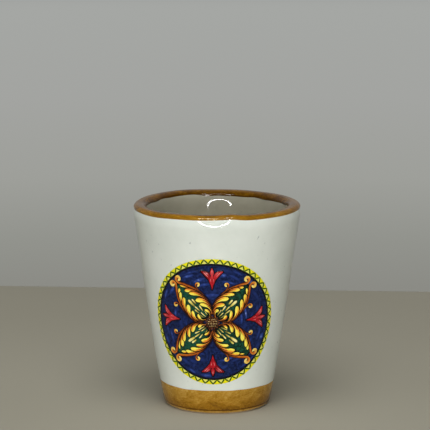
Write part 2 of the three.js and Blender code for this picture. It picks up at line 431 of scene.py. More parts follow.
outer_white = white_glaze("white_glaze", paint(226, 231, 223), paint(216, 222, 213), 0.55)
# The inside copy of the glaze is painted greyer and darker: painted shade of the cup's hollow.
inner_white_painted_shade = white_glaze("white_glaze_inside_painted_shade", paint(188, 184, 164), paint(172, 168, 148), 0.35)

make_piece("outer_coat", [coat(outside)], outer_white, ["outer_glaze"])


def dished(profile):
    """A coat that closes over the axis: it comes out along one face of the profile and goes back
    along the other, starting from the end that is nearer the axis."""
    under = profile - outward(profile) * GLAZE
    if profile[0, 0] > profile[-1, 0]:
        profile, under = profile[::-1], under[::-1]
    return skin(settled(turned(np.vstack([profile, under[::-1]]))))


make_piece("inner_coat", [dished(inside)], inner_white_painted_shade, ["inner_glaze"])
make_piece(
    "underside_coat", [dished(recess)], outer_white, ["underside_glaze"]
)


# ---- Amber bands ------------------------------------------------------------------------------
# A watery iron-brown wash, brushed over the white while the cup turns on a wheel. It is thin at
# its edges, which wander. On the foot it is darker low down, above a paler strip on the bevel that
# is a painted highlight, and over the lip it darkens into the throat as painted shade.

FOOT_BAND_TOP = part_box("foot_band")[1].z / MM
FOOT_LIFT = 0.06
RIM_LIFT = 0.24  # the wash gathers into a bead on the lip
BAND_SINK = 0.12  # how far its underside reaches into the white, so that no gap shows
BAND_ROWS = 40
BAND_EDGE = 0.6  # the distance over which it thins to each edge
AMBER = (  # from where the wash is thin to where it is thick
    (0.2, paint(200, 162, 84)),
    (0.42, paint(174, 130, 42)),
    (0.58, paint(146, 102, 18)),
    (0.85, paint(90, 56, 6)),
)
# How dark each wash is painted from its first edge to its last. Up the foot: a pale strip on the
# bevel, which is a painted highlight, a dark line where the bevel meets the wall, then lighter to
# the
# top. Over the lip inwards: darker into the throat, which is painted shade.
FOOT_WASH_AND_PAINTED_HIGHLIGHT = ((0.0, 0.34), (0.11, 0.3), (0.16, 0.92), (0.22, 0.66), (0.6, 0.5), (1.0, 0.4))
RIM_WASH_AND_PAINTED_SHADE = ((0.0, 0.5), (0.15, 0.6), (0.5, 0.7), (1.0, 0.86))


def marks_of(tree):
    """The three marks of a piece: the place across a stroke, along it, and the stroke's tone."""
    read = add(tree, "ShaderNodeAttribute", attribute_name="marks")
    return add(tree, "ShaderNodeSeparateXYZ", {0: read.outputs["Vector"]}).outputs


def sums(tree, operation, first, second):
    """One arithmetic step between two numbers."""
    return add(tree, "ShaderNodeMath", {0: first, 1: second}, operation=operation).outputs[0]


def wash(name, streaks, load):
    """Amber over white: honey, ochre and brown by a level, which is streaked noise for how thick
    the wash lies plus the load at that place across the band, which also carries painted light."""
    material, tree, shader = new_finish(name, IOR=1.5, Specular_IOR_Level=0.35)
    across = marks_of(tree)[0]
    brushed = noise(tree, 240, detail=4, roughness=0.6, stretch=streaks, distortion=1.4)
    fine = noise(tree, 2100, detail=2, roughness=0.6, stretch=streaks)
    coarse_share = sums(tree, "MULTIPLY", brushed, 0.62)
    streaked = sums(tree, "ADD", coarse_share, sums(tree, "MULTIPLY", fine, 0.38))
    # The load across the band adds painted light: a painted highlight on the foot's bevel and
    # painted shade in the throat.
    level = sums(tree, "ADD", streaked, sums(tree, "SUBTRACT", ramp(tree, across, *load), 0.5))
    tree.links.new(ramp(tree, level, *AMBER), shader.inputs["Base Color"])
    tree.links.new(ramp(tree, fine, (0.3, 0.06), (0.7, 0.14)), shader.inputs["Roughness"])
    relief(tree, shader, brushed, 0.0002, 0.2)
    return material


foot_amber = wash("amber_foot", (0.8, 0.8, 1.3), FOOT_WASH_AND_PAINTED_HIGHLIGHT)
rim_amber = wash("amber_rim", (0.6, 0.6, 1.6), RIM_WASH_AND_PAINTED_SHADE)


def lengths(profile):
    """The length along a profile at each of its points."""
    step = np.linalg.norm(np.diff(profile, axis=0), axis=1)
    return np.concatenate([[0], np.cumsum(step)])


def length_to(profile, height):
    """The length along a rising or falling profile at which it reaches a height."""
    return float(lengths(profile)[np.argmin(np.abs(profile[:, 1] - height))])


def band(profile, start, end, start_waves, end_waves, full):
    """A brushed film between two wandering edges. Each edge is a length along the profile that
    changes round the cup, and the film thins from its full height to a twentieth at both."""
    length = lengths(profile)
    turn = np.linspace(0, 2 * np.pi, AROUND, endpoint=False)
    low = start + wander(start_waves, turn)
    high = end + wander(end_waves, turn)
    share = np.linspace(0, 1, BAND_ROWS)[:, None]
    place = low + (high - low) * share
    normal = outward(profile)
    radius, height = (np.interp(place, length, profile[:, k]) for k in (0, 1))
    out, up = (np.interp(place, length, normal[:, k]) for k in (0, 1))
    thin = smooth_step(np.minimum(place - low, high - place) / BAND_EDGE)

    def at(depth):
        """The band's rows of points moved that far out of the surface."""
        r = radius + out * depth
        z = height + up * depth
        return np.stack([r * np.sin(turn), -r * np.cos(turn), z], -1)

    rings = np.vstack([at(full * (0.05 + 0.95 * thin)), at(-BAND_SINK)[::-1]])
    marks = np.zeros_like(rings)
    marks[..., 0] = np.vstack([share, share[::-1]])
    return skin(settled(rings), loop=True, marks=marks)


make_piece(
    "foot_wash",
    [
        band(
            outside,
            0.0,
            length_to(outside, FOOT_BAND_TOP),
            (),
            ((1, 0.12, 2.1), (3, 0.1, 0.4), (7, 0.05, 1.9), (16, 0.03, 0.5)),
            FOOT_LIFT,
        )
    ],
    foot_amber,
    ["foot_band"],
)

RIM_DROP = 1.15  # from the top of the lip to the band's edge outside
THROAT_DROP = 1.35  # and to its edge inside
LIP_REACH = HEIGHT - 8  # the profile that the band is laid along starts and ends at this height
over_lip = np.vstack(
    [outside[outside[:, 1] > LIP_REACH], inside[inside[:, 1] > LIP_REACH][1:]]
)
lip_top = int(np.argmax(over_lip[:, 1]))
band_start = length_to(over_lip[: lip_top + 1], HEIGHT - RIM_DROP)
lip_length = length_to(over_lip[: lip_top + 1], HEIGHT)
band_end = lip_length + length_to(over_lip[lip_top:], HEIGHT - THROAT_DROP)
make_piece(
    "rim_wash",
    [
        band(
            over_lip,
            band_start,
            band_end,
            ((2, 0.08, 0.9), (5, 0.05, 2.2), (11, 0.03, 0.1)),
            ((2, 0.18, 2.4), (3, 0.12, 0.7), (6, 0.1, 1.3), (13, 0.1, 2.0), (21, 0.05, 0.0)),
            RIM_LIFT,
        )
    ],
    rim_amber,
    ["rim_band"],
)


# ---- Medallion: border and ground -------------------------------------------------------------
# The first colours of a round transfer of fired enamels, laid on the front of the white glaze: a
# lemon border with a green zigzag, and a deep blue ground brushed with paler blue.

rng = np.random.default_rng(5)  # the painter's hand
MEDALLION_HEIGHT = 28.65  # of its centre
MEDALLION_RADIUS = 19.1
FIELD_RADIUS = 17.5  # of the blue ground inside the border
STRETCH = np.array([0.98, 1.015])  # the wet transfer draws in and up a little as it is laid
APEX = FOOT_RADIUS / WALL_SLOPE - BEVEL_HEIGHT
LEAN = math.atan(WALL_SLOPE)
CENTRE_SLANT = (MEDALLION_HEIGHT + APEX) / math.cos(LEAN)


def on_wall(flat, lift):
    """A point of the flat transfer laid on the wall. The wall is unrolled about its cone's apex, so
    a point's distance from the apex gives its height and its angle gives its turn round the cup."""
    flat = flat * STRETCH
    slant = np.hypot(flat[..., 0], CENTRE_SLANT + flat[..., 1])
    turn = np.arctan2(flat[..., 0], CENTRE_SLANT + flat[..., 1]) / math.sin(LEAN)
    z = slant * math.cos(LEAN) - APEX
    radius = wall_radius(z) + lift * math.cos(LEAN)
    height = z - lift * math.sin(LEAN)
    return settled(np.stack([radius * np.sin(turn), -radius * np.cos(turn), height], -1))


def patch(left, right, lift, thick=0.03, across=8, loop=False, tone=None, side=1):
    """Enamel between two lines of the transfer. Its section is a flat lens, whose height over the
    middle is thick times |sin|^0.6 and whose underside is less full. side is -1 on a mirrored
    patch, so that the mark across it still runs from the inner line to the outer."""
    turn = np.linspace(0, 2 * np.pi, across, endpoint=False)
    share = (np.cos(turn) + 1) / 2
    lens = np.sign(np.sin(turn)) * np.abs(np.sin(turn)) ** 0.6
    lens = np.where(lens < 0, 0.4 * lens, lens)
    flat = right[:, None] + (left - right)[:, None] * share[:, None]
    rings = on_wall(flat, np.broadcast_to(lift + thick * lens, flat.shape[:2]))
    marks = np.zeros_like(rings)
    marks[..., 0] = share if side > 0 else 1 - share
    marks[..., 1] = np.linspace(0, 1, len(left))[:, None]
    marks[..., 2] = rng.random() if tone is None else tone
    return skin(rings, loop=loop, marks=marks)


def headings(path, loop=False):
    """The unit direction of a path at each point, and the unit normal on its left."""
    along = np.roll(path, -1, 0) - np.roll(path, 1, 0) if loop else np.gradient(path, axis=0)
    along /= np.linalg.norm(along, axis=1, keepdims=True)
    return along, np.stack([-along[:, 1], along[:, 0]], -1)


def stroke(path, width, lift, thick=0.03, across=8, loop=False, tone=None, side=1):
    """A brush stroke of enamel: a patch that reaches half its width to each side of a path."""
    reach = headings(path, loop)[1] * np.broadcast_to(width, len(path))[:, None] / 2
    return patch(path + reach, path - reach, lift, thick, across, loop, tone, side)


def ring_path(radius, count):
    """Points round a circle about the medallion's centre, anticlockwise from the right."""
    angle = np.linspace(0, 2 * np.pi, count, endpoint=False)
    return radius * np.stack([np.cos(angle), np.sin(angle)], -1)


def disc(radius, lift, rows, across, tone):
    """A filled round of enamel: a stroke up its middle, as wide at each height as the circle is."""
    rise = -np.cos(np.linspace(0.02, np.pi - 0.02, rows))
    path = np.stack([np.zeros(rows), rise * radius], -1)
    return stroke(path, 2 * radius * np.sqrt(1 - rise**2), lift, 0.02, across, tone=tone)


ENAMEL_GLOSS = 0.2  # low, so that the dark colours stay deep


def enamel(name, *stops, mark=2, shade=0.0, grain=0.25, wobble=0.35):
    """Glossy fired colour laid along one of the marks, less a shade towards the outer line, with
    the brush's uneven load as noise and each stroke's own tone."""
    material, tree, shader = new_finish(name, IOR=1.5, Specular_IOR_Level=ENAMEL_GLOSS)
    place = marks_of(tree)
    load = noise(tree, 1400, detail=3, roughness=0.6)
    drift = sums(tree, "MULTIPLY", sums(tree, "SUBTRACT", load, 0.5), grain * 2)
    tone = sums(tree, "MULTIPLY", sums(tree, "SUBTRACT", place[2], 0.5), wobble)
    outer = sums(tree, "MULTIPLY", sums(tree, "SUBTRACT", 0.5, place[0]), shade)
    level = sums(tree, "ADD", sums(tree, "ADD", place[mark], drift), sums(tree, "ADD", tone, outer))
    tree.links.new(ramp(tree, level, *stops), shader.inputs["Base Color"])
    tree.links.new(ramp(tree, load, (0.3, 0.084), (0.7, 0.18)), shader.inputs["Roughness"])
    relief(tree, shader, load, 0.00006, 0.2)
    return material


TEETH = 50
TOOTH_POINTS = 8  # on the path of each tooth
ZIGZAG_WIDTH = 0.42
OUTLINE_WIDTH = 0.62
BORDER_MIDDLE = (MEDALLION_RADIUS + FIELD_RADIUS) / 2
BORDER_WIDTH = MEDALLION_RADIUS - FIELD_RADIUS

# How high each layer lies over the wall, in the order in which they are fired.
GROUND_LIFT = 0.04  # the border and the ground beside it
BRUSHWORK_LIFT = 0.062
OUTLINE_LIFT = 0.065
ZIGZAG_LIFT = 0.07

# Inside each tooth of the zigzag the yellow is paler. The mark along the border counts the teeth,
# and the mark across it falls from 1 at the field to 0 at the rim.
border_yellow, tree, shader = new_finish(
    "border_yellow", IOR=1.5, Specular_IOR_Level=ENAMEL_GLOSS
)
place = marks_of(tree)
tooth = sums(tree, "PINGPONG", sums(tree, "MULTIPLY", place[1], 2 * TEETH), 1.0)
inside_tooth = sums(tree, "LESS_THAN", sums(tree, "SUBTRACT", 1.0, place[0]), tooth)
mottle = noise(tree, 1300, detail=2)
lemon = ramp(tree, mottle, (0.3, paint(222, 214, 12)), (0.7, paint(240, 234, 30)))
straw = ramp(tree, mottle, (0.3, paint(220, 218, 84)), (0.7, paint(232, 230, 116)))
tree.links.new(blend(tree, inside_tooth, lemon, straw), shader.inputs["Base Color"])
tree.links.new(ramp(tree, mottle, (0.3, 0.12), (0.7, 0.22)), shader.inputs["Roughness"])

make_piece(
    "border_ring",
    [stroke(ring_path(BORDER_MIDDLE, 600), BORDER_WIDTH, GROUND_LIFT, 0.02, 10, loop=True)],
    border_yellow,
    ["medallion_border"],
)

# The zigzag's path keeps 0.1 mm clear of the field and 0.18 mm clear of the rim, and the power
# rounds its sides a little.
step = np.arange(TEETH * TOOTH_POINTS) / TOOTH_POINTS
fall = np.abs((step % 1) * 2 - 1)
zigzag_radius = FIELD_RADIUS + 0.1 + (BORDER_WIDTH - 0.28) * (1 - fall) ** 0.85
zigzag = ring_path(1.0, TEETH * TOOTH_POINTS) * zigzag_radius[:, None]
border_green = enamel(
    "border_green", (0.2, paint(22, 44, 8)), (0.8, paint(54, 86, 16)), grain=0.5
)
make_piece(
    "border_zigzag",
    [stroke(zigzag, ZIGZAG_WIDTH, ZIGZAG_LIFT, loop=True)],
    border_green,
    ["medallion_border"],
)

outline_ink = enamel(
    "outline_ink", (0.2, paint(6, 7, 18)), (0.8, paint(18, 17, 30)), grain=0.4
)
NAVY = paint(18, 32, 74)
ground_blue = enamel(
    "ground_blue", (0.1, paint(6, 12, 34)), (0.5, NAVY), (0.9, paint(30, 48, 108)), grain=0.9
)
make_piece(
    "ground_disc",
    [disc(FIELD_RADIUS, GROUND_LIFT, rows=160, across=96, tone=0.5)],
    ground_blue,
    ["medallion_ground"],
)
make_piece(
    "ground_outline",
    [stroke(ring_path(FIELD_RADIUS - 0.05, 480), OUTLINE_WIDTH, OUTLINE_LIFT, 0.02, loop=True)],
    outline_ink,
    ["medallion_ground"],
)


def soft_ends(count, start, end):
    """A width that is round at both ends: a quarter circle over the share start at the beginning
    and over the share end at the end, and 1 between."""
    t = np.linspace(0, 1, count)
    opening = 1 - (1 - np.clip(t / start, 0, 1)) ** 2
    closing = 1 - (1 - np.clip((1 - t) / end, 0, 1)) ** 2
    return np.sqrt(np.clip(opening * closing, 0.0004, 1))


# Soft paler strokes follow the border and curl round between the leaves. Each fades to the ground
# at its sides and its ends, by the products m (1 - m) of its marks across and along.
brush_blue, tree, shader = new_finish(
    "brush_blue", IOR=1.5, Roughness=0.14, Specular_IOR_Level=ENAMEL_GLOSS
)
place = marks_of(tree)
humps = [
    sums(tree, "MULTIPLY", sums(tree, "MULTIPLY", m, sums(tree, "SUBTRACT", 1.0, m)), 4.0)
    for m in place[:2]
]
load = sums(tree, "ADD", sums(tree, "MULTIPLY", noise(tree, 1200, detail=3), 1.2), -0.1)
shown = sums(tree, "MULTIPLY", load, place[2])
strength = sums(tree, "MULTIPLY", sums(tree, "MULTIPLY", *humps), shown)
BRUSHED = (
    (0.0, NAVY),
    (0.24, paint(34, 54, 120)),
    (0.46, paint(62, 86, 158)),
    (0.7, paint(134, 152, 204)),
)
tree.links.new(ramp(tree, strength, *BRUSHED), shader.inputs["Base Color"])

BRUSH_ROUNDS = ((16.3, 15), (14.9, 13), (13.4, 11), (11.8, 9), (10.0, 8), (8.2, 6))  # radius, count
BRUSH_POINTS = 24
brush_marks = []
for ring, count in BRUSH_ROUNDS:
    for start in np.linspace(0, 2 * np.pi, count, endpoint=False):
        start = start + rng.uniform(-0.2, 0.2)
        angle = start + np.linspace(0, rng.uniform(2.4, 6.0) / ring, BRUSH_POINTS)
        first = ring + rng.uniform(-0.4, 0.4)
        radius = first + np.linspace(0, rng.uniform(-0.7, 0.7), BRUSH_POINTS)
        path = np.stack([radius * np.cos(angle), radius * np.sin(angle)], -1)
        width = rng.uniform(0.7, 1.5) * soft_ends(BRUSH_POINTS, 0.5, 0.5)
        brush_marks.append(stroke(path, width, BRUSHWORK_LIFT, 0.01, 12))
make_piece("ground_brushwork", brush_marks, brush_blue, ["medallion_ground"])


# ---- Medallion: leaves ------------------------------------------------------------------------
# Four acanthus leaves on the diagonals. Each is a dark shape filled with green, whose edges are
# comma strokes, each drawn round in dark brown, that run brown and orange along the rim and turn
# in to yellow heads. Two strokes end in curled tips, and each side has a small tendril.


def smooth_path(knots, count):
    """A curve through every knot: each stretch is the Catmull-Rom cubic of its four neighbours."""
    knots = np.asarray(knots, float)
    padded = np.vstack([2 * knots[0] - knots[1], knots, 2 * knots[-1] - knots[-2]])
    t = np.linspace(0, len(knots) - 1 - 1e-9, count)
    i = t.astype(int)
    f = (t - i)[:, None]
    p0, p1, p2, p3 = (padded[i + k] for k in range(4))
    return 0.5 * (
        2 * p1
        + (p2 - p0) * f
        + (2 * p0 - 5 * p1 + 4 * p2 - p3) * f**2
        + (3 * p1 - p0 - 3 * p2 + p3) * f**3
    )


def curl(centre, first, last, start, sweep, count=14):
    """A spiral about a centre, from one radius to another, from a start angle through a sweep."""
    angle = np.radians(np.linspace(start, start + sweep, count))
    radius = np.linspace(first, last, count)
    return np.stack(
        [centre[0] + radius * np.cos(angle), centre[1] + radius * np.sin(angle)], -1
    )


# One side of a leaf, lying along +X from the seed head, in millimetres along and across.
BLADE = (
    (1.7, 0.7),
    (2.6, 2.3),
    (3.9, 3.55),
    (6.4, 4.05),
    (9.2, 3.95),
    (11.6, 3.15),
    (13.6, 2.0),
    (15.2, 1.2),
)
SHADE_MARGIN = 0.5  # how far the dark shape reaches past the blade
HEART = ((2.6, 0.5), (4.2, 1.9), (6.5, 2.5), (9.2, 2.4), (11.6, 1.9), (13.4, 1.2), (14.6, 0.5))
SCALLOP = 1.9  # the length of each scallop on the heart's edge
TIP_STEM = ((5.6, 3.95), (8.0, 4.1), (10.2, 3.75), (12.2, 2.85), (13.9, 1.75), (15.2, 0.8))
TIP = ((16.0, 1.5), 0.8, 0.28, -95, 330)  # the curled tip: centre, radii, start and sweep
TIP_SWELL = ((0, 0.22), (0.15, 0.54), (0.3, 0.68), (0.42, 0.72), (0.62, 0.92), (1, 0.6))
TENDRIL_STEM = ((8.4, 3.95), (9.7, 4.1), (10.6, 4.25))
TENDRIL = ((10.9, 5.0), 0.62, 0.22, -85, 320)
TENDRIL_SWELL = ((0, 0.18), (0.35, 0.32), (0.6, 0.7), (1, 0.5))
LOBE_SWELL = ((0, 0.26), (0.3, 0.36), (0.55, 0.6), (0.8, 0.94), (1, 1.04))
LOBES = (  # tail, shoulder and head of each comma stroke, and its greatest width
    ((1.6, 0.6), (2.6, 2.3), (4.3, 1.35), 0.95),
    ((2.0, 1.8), (4.0, 4.0), (6.2, 1.5), 1.25),
    ((3.4, 3.1), (6.2, 4.5), (8.3, 1.55), 1.4),
    ((5.4, 3.8), (8.6, 4.3), (10.5, 1.3), 1.4),
    ((8.0, 3.75), (11.0, 3.3), (12.5, 0.85), 1.2),
    ((10.6, 3.0), (12.7, 2.1), (13.9, 0.5), 0.8),
)
LOBE_POINTS = 26
VEINS = (  # pale drops in the heart of the leaf: start, end and greatest width
    ((2.4, 0.1), (4.4, 0.2), 0.26),
    ((2.6, 0.7), (4.6, 1.2), 0.3),
    ((2.5, -0.6), (4.5, -1.0), 0.28),
    ((4.3, 0.65), (6.2, 1.1), 0.36),
    ((4.3, -0.5), (6.3, -0.8), 0.38),
    ((5.0, 0.1), (6.9, 0.2), 0.4),
    ((6.7, 0.4), (9.5, 0.6), 0.8),
    ((7.2, -0.55), (9.0, -0.5), 0.55),
)
LEAVES = {"upper_right": 45, "upper_left": 135, "lower_left": 225, "lower_right": 315}

# How high each layer lies over the wall, in the order in which they are painted.
SHADE_LIFT = 0.066
HEART_LIFT = 0.085
TENDRIL_LIFT = 0.098
TIP_LIFT = 0.1
VEIN_LIFT = 0.125
LOBE_LIFT = 0.13
LOBE_STEP = 0.03  # each comma lies that much above the one before it
CREASE_LIFT = 0.0145  # and the thin dark line along its tail lies on top of its colour


def placed(flat, side, degrees):
    """A path drawn on one side of a leaf, taken to that side and turned with the leaf."""
    a = math.radians(degrees)
    x, y = flat[:, 0], flat[:, 1] * side
    return np.stack([x * math.cos(a) - y * math.sin(a), x * math.sin(a) + y * math.cos(a)], -1)


def film(edge, degrees, lift, ripple=0.0, tone=0.5):
    """A filled blade between an edge line and its mirror image. ripple is the size of the scallops
    (1 - cos) on its edge."""
    line = smooth_path(edge, 72)
    line[:, 1] += ripple * (1 - np.cos(line[:, 0] * 2 * np.pi / SCALLOP))
    return patch(placed(line, 1, degrees), placed(line, -1, degrees), lift, 0.015, 32, tone=tone)


def lobe_path(*knots):
    """The quadratic curve that leaves the tail for the shoulder and arrives from it at the head,
    each of them a little off its place."""
    t = np.linspace(0, 1, LOBE_POINTS)[:, None]
    tail, shoulder, head = (np.array(knot) + rng.normal(0, 0.17, 2) for knot in knots)
    return (1 - t) ** 2 * tail + 2 * t * (1 - t) * shoulder + t**2 * head


def swelling(stops, count):
    """A brush's width along a stroke, read between stops of place and width."""
    places, widths = np.transpose(stops)
    return np.interp(np.linspace(0, 1, count), places, widths)


def drawn(path, width, lift, inks, colours, side, line):
    """A coloured stroke over a dark one, which is wider by line and runs on past both ends."""
    longer = path.copy()
    along = headings(path)[0]
    longer[0] -= along[0] * line / 2
    longer[-1] += along[-1] * line / 2
    dark = width + line
    dark[[0, -1]] = line * 0.4
    inks.append(stroke(longer, dark, lift - 0.014, 0.008))
    colours.append(stroke(path, width, lift, 0.012, side=side))


leaf_ink = enamel("leaf_ink", (0.2, paint(6, 4, 2)), (0.8, paint(26, 14, 6)), grain=0.5)
leaf_shade = enamel(
    "leaf_shade",
    (0.0, paint(16, 19, 62)),
    (0.07, paint(8, 9, 22)),
    (0.5, paint(9, 16, 14)),
    (0.93, paint(8, 9, 22)),
    (1.0, paint(16, 19, 62)),
    mark=0,
    grain=0.04,
    wobble=0.0,
)
leaf_green = enamel(
    "leaf_green",
    (0.1, paint(8, 28, 22)),
    (0.42, paint(16, 58, 42)),
    (0.6, paint(26, 84, 64)),
    (0.85, paint(24, 66, 50)),
    grain=0.9,
    wobble=0.5,
)
LOBE_COLOURS = (
    (0.05, paint(110, 46, 12)),
    (0.34, paint(206, 108, 36)),
    (0.56, paint(234, 148, 56)),
    (0.72, paint(246, 208, 60)),
    (0.92, paint(252, 238, 96)),
)
lobe_gold = enamel("lobe_gold", *LOBE_COLOURS, mark=1, shade=0.6, grain=0.28, wobble=0.3)
TIP_COLOURS = (
    (0.05, paint(110, 50, 14)),
    (0.3, paint(196, 100, 30)),
    (0.5, paint(222, 140, 52)),
    (0.66, paint(240, 196, 88)),
    (0.95, paint(250, 226, 130)),
)
tip_orange = enamel("tip_orange", *TIP_COLOURS, mark=1, shade=0.3, grain=0.2, wobble=0.16)
vein_cream = enamel(
    "vein_cream",
    (0.1, paint(150, 140, 60)),
    (0.5, paint(220, 204, 100)),
    (0.9, paint(250, 240, 160)),
    mark=1,
    grain=0.3,
    wobble=0.5,
)

CURLS = (  # stem, curl, width, points, soft share of the last end, lift and width of dark line
    (TIP_STEM, TIP, TIP_SWELL, 110, 0.02, TIP_LIFT, 0.3),
    (TENDRIL_STEM, TENDRIL, TENDRIL_SWELL, 70, 0.03, TENDRIL_LIFT, 0.24),
)
for number, (where, degrees) in enumerate(LEAVES.items()):
    node = f"leaf_{where}"
    inks, golds, tips, veins = [], [], [], []
    for side in (1, -1):
        lean = degrees + rng.uniform(-1.0, 1.0)
        for stem, spiral, swell, count, soft, lift, line in CURLS:
            path = placed(smooth_path(np.vstack([stem, curl(*spiral)]), count), side, lean)
            width = swelling(swell, count) * soft_ends(count, 0.05, soft)
            drawn(path, width, lift, inks, tips, side, line)
        for order, (*knots, full) in enumerate(reversed(LOBES)):
            path = placed(lobe_path(*knots), side, lean)
            swell = full * rng.uniform(0.66, 1.06) * swelling(LOBE_SWELL, LOBE_POINTS)
            lift = LOBE_LIFT + LOBE_STEP * order
            drawn(path, swell * soft_ends(LOBE_POINTS, 0.1, 0.24), lift, inks, golds, side, 0.5)
            crease = path[2:18] + rng.normal(0, 0.05, 2)
            inks.append(stroke(crease, 0.2 * soft_ends(16, 0.3, 0.7), lift + CREASE_LIFT, 0.004))
    flip = 1 if number % 2 else -1
    for *ends, full in VEINS:
        path = placed(smooth_path(ends + rng.normal(0, 0.08, (2, 2)), 16), flip, degrees)
        drawn(path, full * soft_ends(16, 1.0, 0.3), VEIN_LIFT, inks, veins, flip, 0.2)
    shade = [film([(a, b + SHADE_MARGIN) for a, b in BLADE], degrees, SHADE_LIFT)]
    greens = [film(HEART, degrees, HEART_LIFT, ripple=0.1, tone=rng.uniform(0.4, 0.6))]
    make_piece(f"{node}_shade", shade, leaf_shade, [node])
    make_piece(f"{node}_green", greens, leaf_green, [node])
    make_piece(f"{node}_line", inks, leaf_ink, [node])
    make_piece(f"{node}_lobes", golds, lobe_gold, [node])
    make_piece(f"{node}_tips", tips, tip_orange, [node])
    make_piece(f"{node}_veins", veins, vein_cream, [node])


# ---- Medallion: fleurons ----------------------------------------------------------------------
# Four crimson fleurons point inwards between the leaves. Each is a lance that opens into a middle
# petal and two flared ones, with a dark line round it and pink lights brushed on the petals.

PETAL_LINE = 0.34  # how far the dark line shows round a petal
PETAL_POINTS = 30
LANCE = ((10.0, 0.02), (11.3, 0.36), (12.5, 0.85), (13.3, 0.9), (14.0, 0.3))
MIDDLE_PETAL = ((13.0, 0.1), (14.0, 0.3), (14.9, 0.52), (15.5, 0.42), (16.4, 0.03))
FLARE_OUTER = ((12.2, 0.5), (13.0, 1.1), (13.9, 1.9), (15.2, 3.2))
FLARE_INNER = ((12.8, 0.1), (14.1, 0.5), (14.9, 1.0), (15.3, 1.9), (15.4, 3.1))
LIGHTS = (  # start, end and width of each pink stroke
    ((13.6, 1.0), (15.1, 2.5), 0.34),
    ((14.2, 0.85), (15.15, 1.9), 0.26),
    ((14.4, 0.08), (15.8, 0.06), 0.26),
    ((12.0, 0.28), (13.2, 0.5), 0.2),
)
FLEURONS = {"right": 0, "top": 90, "left": 180, "bottom": 270}

crimson = enamel(
    "crimson",
    (0.1, paint(130, 12, 22)),
    (0.5, paint(178, 24, 36)),
    (0.9, paint(200, 54, 60)),
    grain=0.5,
    wobble=0.0,
)
rose = enamel("rose", (0.1, paint(190, 56, 62)), (0.8, paint(222, 124, 124)), mark=1, grain=0.5)


def petal(outer, inner, degrees, lift, inks, colours):
    """A red patch between two lines over a dark one, which reaches further out on every side."""
    outer, inner = smooth_path(outer, PETAL_POINTS), smooth_path(inner, PETAL_POINTS)
    along, across = headings((outer + inner) / 2)
    ends = np.zeros((PETAL_POINTS, 1))
    ends[0], ends[-1] = -PETAL_LINE, PETAL_LINE
    beds = ((PETAL_LINE, ends, lift - 0.02, inks), (0, 0 * ends, lift, colours))
    for grow, shift, height, bed in beds:
        edges = (outer + across * grow + along * shift, inner - across * grow + along * shift)
        bed.append(patch(*(placed(edge, 1, degrees) for edge in edges), height, 0.025, 12))


def mirrored(line):
    """A line's image on the other side of the fleuron's middle."""
    return tuple((a, -b) for a, b in line)


PETALS = (  # the lines on both sides of each petal, and its lift: two flares, the middle, the lance
    (FLARE_OUTER, FLARE_INNER, 0.085),
    (mirrored(FLARE_INNER), mirrored(FLARE_OUTER), 0.086),
    (MIDDLE_PETAL, mirrored(MIDDLE_PETAL), 0.105),
    (LANCE, mirrored(LANCE), 0.095),
)
LIGHT_LIFT = 0.12
for where, degrees in FLEURONS.items():
    node = f"fleuron_{where}"
    inks, reds, pinks = [], [], []
    for outer, inner, lift in PETALS:
        petal(outer, inner, degrees, lift, inks, reds)
    for side in (1, -1):
        for *ends, full in LIGHTS:
            path = placed(smooth_path(ends, 14), side, degrees)
            pinks.append(stroke(path, full * soft_ends(14, 0.8, 0.5), LIGHT_LIFT, 0.02))
    make_piece(f"{node}_line", inks, outline_ink, [node])
    make_piece(f"{node}_petals", reds, crimson, [node])
    make_piece(f"{node}_lights", pinks, rose, [node])


# ---- Medallion: seed head ---------------------------------------------------------------------
# The brown boss where the leaves meet: a dark round with a frill of small scales, and rows of
# cream dashes for its seeds.

SEED_RADIUS = 1.9
SCALES = 15
BOSS_LIFT = 0.165
SCALE_LIFT = 0.175
SEED_LIFT = 0.2
seed_brown = enamel(
    "seed_brown", (0.1, paint(30, 15, 10)), (0.9, paint(104, 56, 28)), mark=1, grain=0.6
)
seed_cream = enamel(
    "seed_cream", (0.2, paint(180, 140, 78)), (0.8, paint(226, 204, 140)), mark=1, grain=0.4
)
boss = [disc(SEED_RADIUS * 0.9, BOSS_LIFT, rows=24, across=24, tone=0.2)]
for angle in np.linspace(0, 360, SCALES, endpoint=False):
    path = placed(smooth_path(((1.1, 0.0), (2.15, 0.0)), 12), 1, angle)
    boss.append(stroke(path, 0.55 * soft_ends(12, 0.6, 0.6), SCALE_LIFT))
seeds = []
for row in (-1.0, -0.36, 0.3, 0.95):
    for column in np.linspace(-1.15, 1.15, 6):
        if math.hypot(row, column) < SEED_RADIUS * 0.72:
            start = np.array([column, row]) + rng.normal(0, 0.07, 2)
            path = smooth_path((start - (0, 0.17), start + (0, 0.17)), 8)
            seeds.append(stroke(path, 0.24 * soft_ends(8, 0.6, 0.6), SEED_LIFT, across=6))
make_piece("seed_head_boss", boss, seed_brown, ["seed_head"])
make_piece("seed_head_seeds", seeds, seed_cream, ["seed_head"])


# ---- Studio -----------------------------------------------------------------------------------
# A pale table with a plain backdrop beyond it, and soft light from low in front, from above and,
# fainter, from behind. The round reflection on the shoulder and in the throat is of a ring lamp.

TABLE_BACK = 0.161  # metres behind the cup where the table ends
TABLE_SIDE = 1.5
TABLE_DEPTH = 0.03
TABLE_EDGE = 0.004
SCENE = bpy.context.scene


def stage_mesh(name, points, faces, finish):
    """A piece of the studio, in metres, which isn't part of the cup."""
    mesh = bpy.data.meshes.new(name)
    mesh.from_pydata(points, [], faces)
    mesh.materials.append(finish)
    thing = bpy.data.objects.new(name, mesh)
    SCENE.collection.objects.link(thing)
    return thing


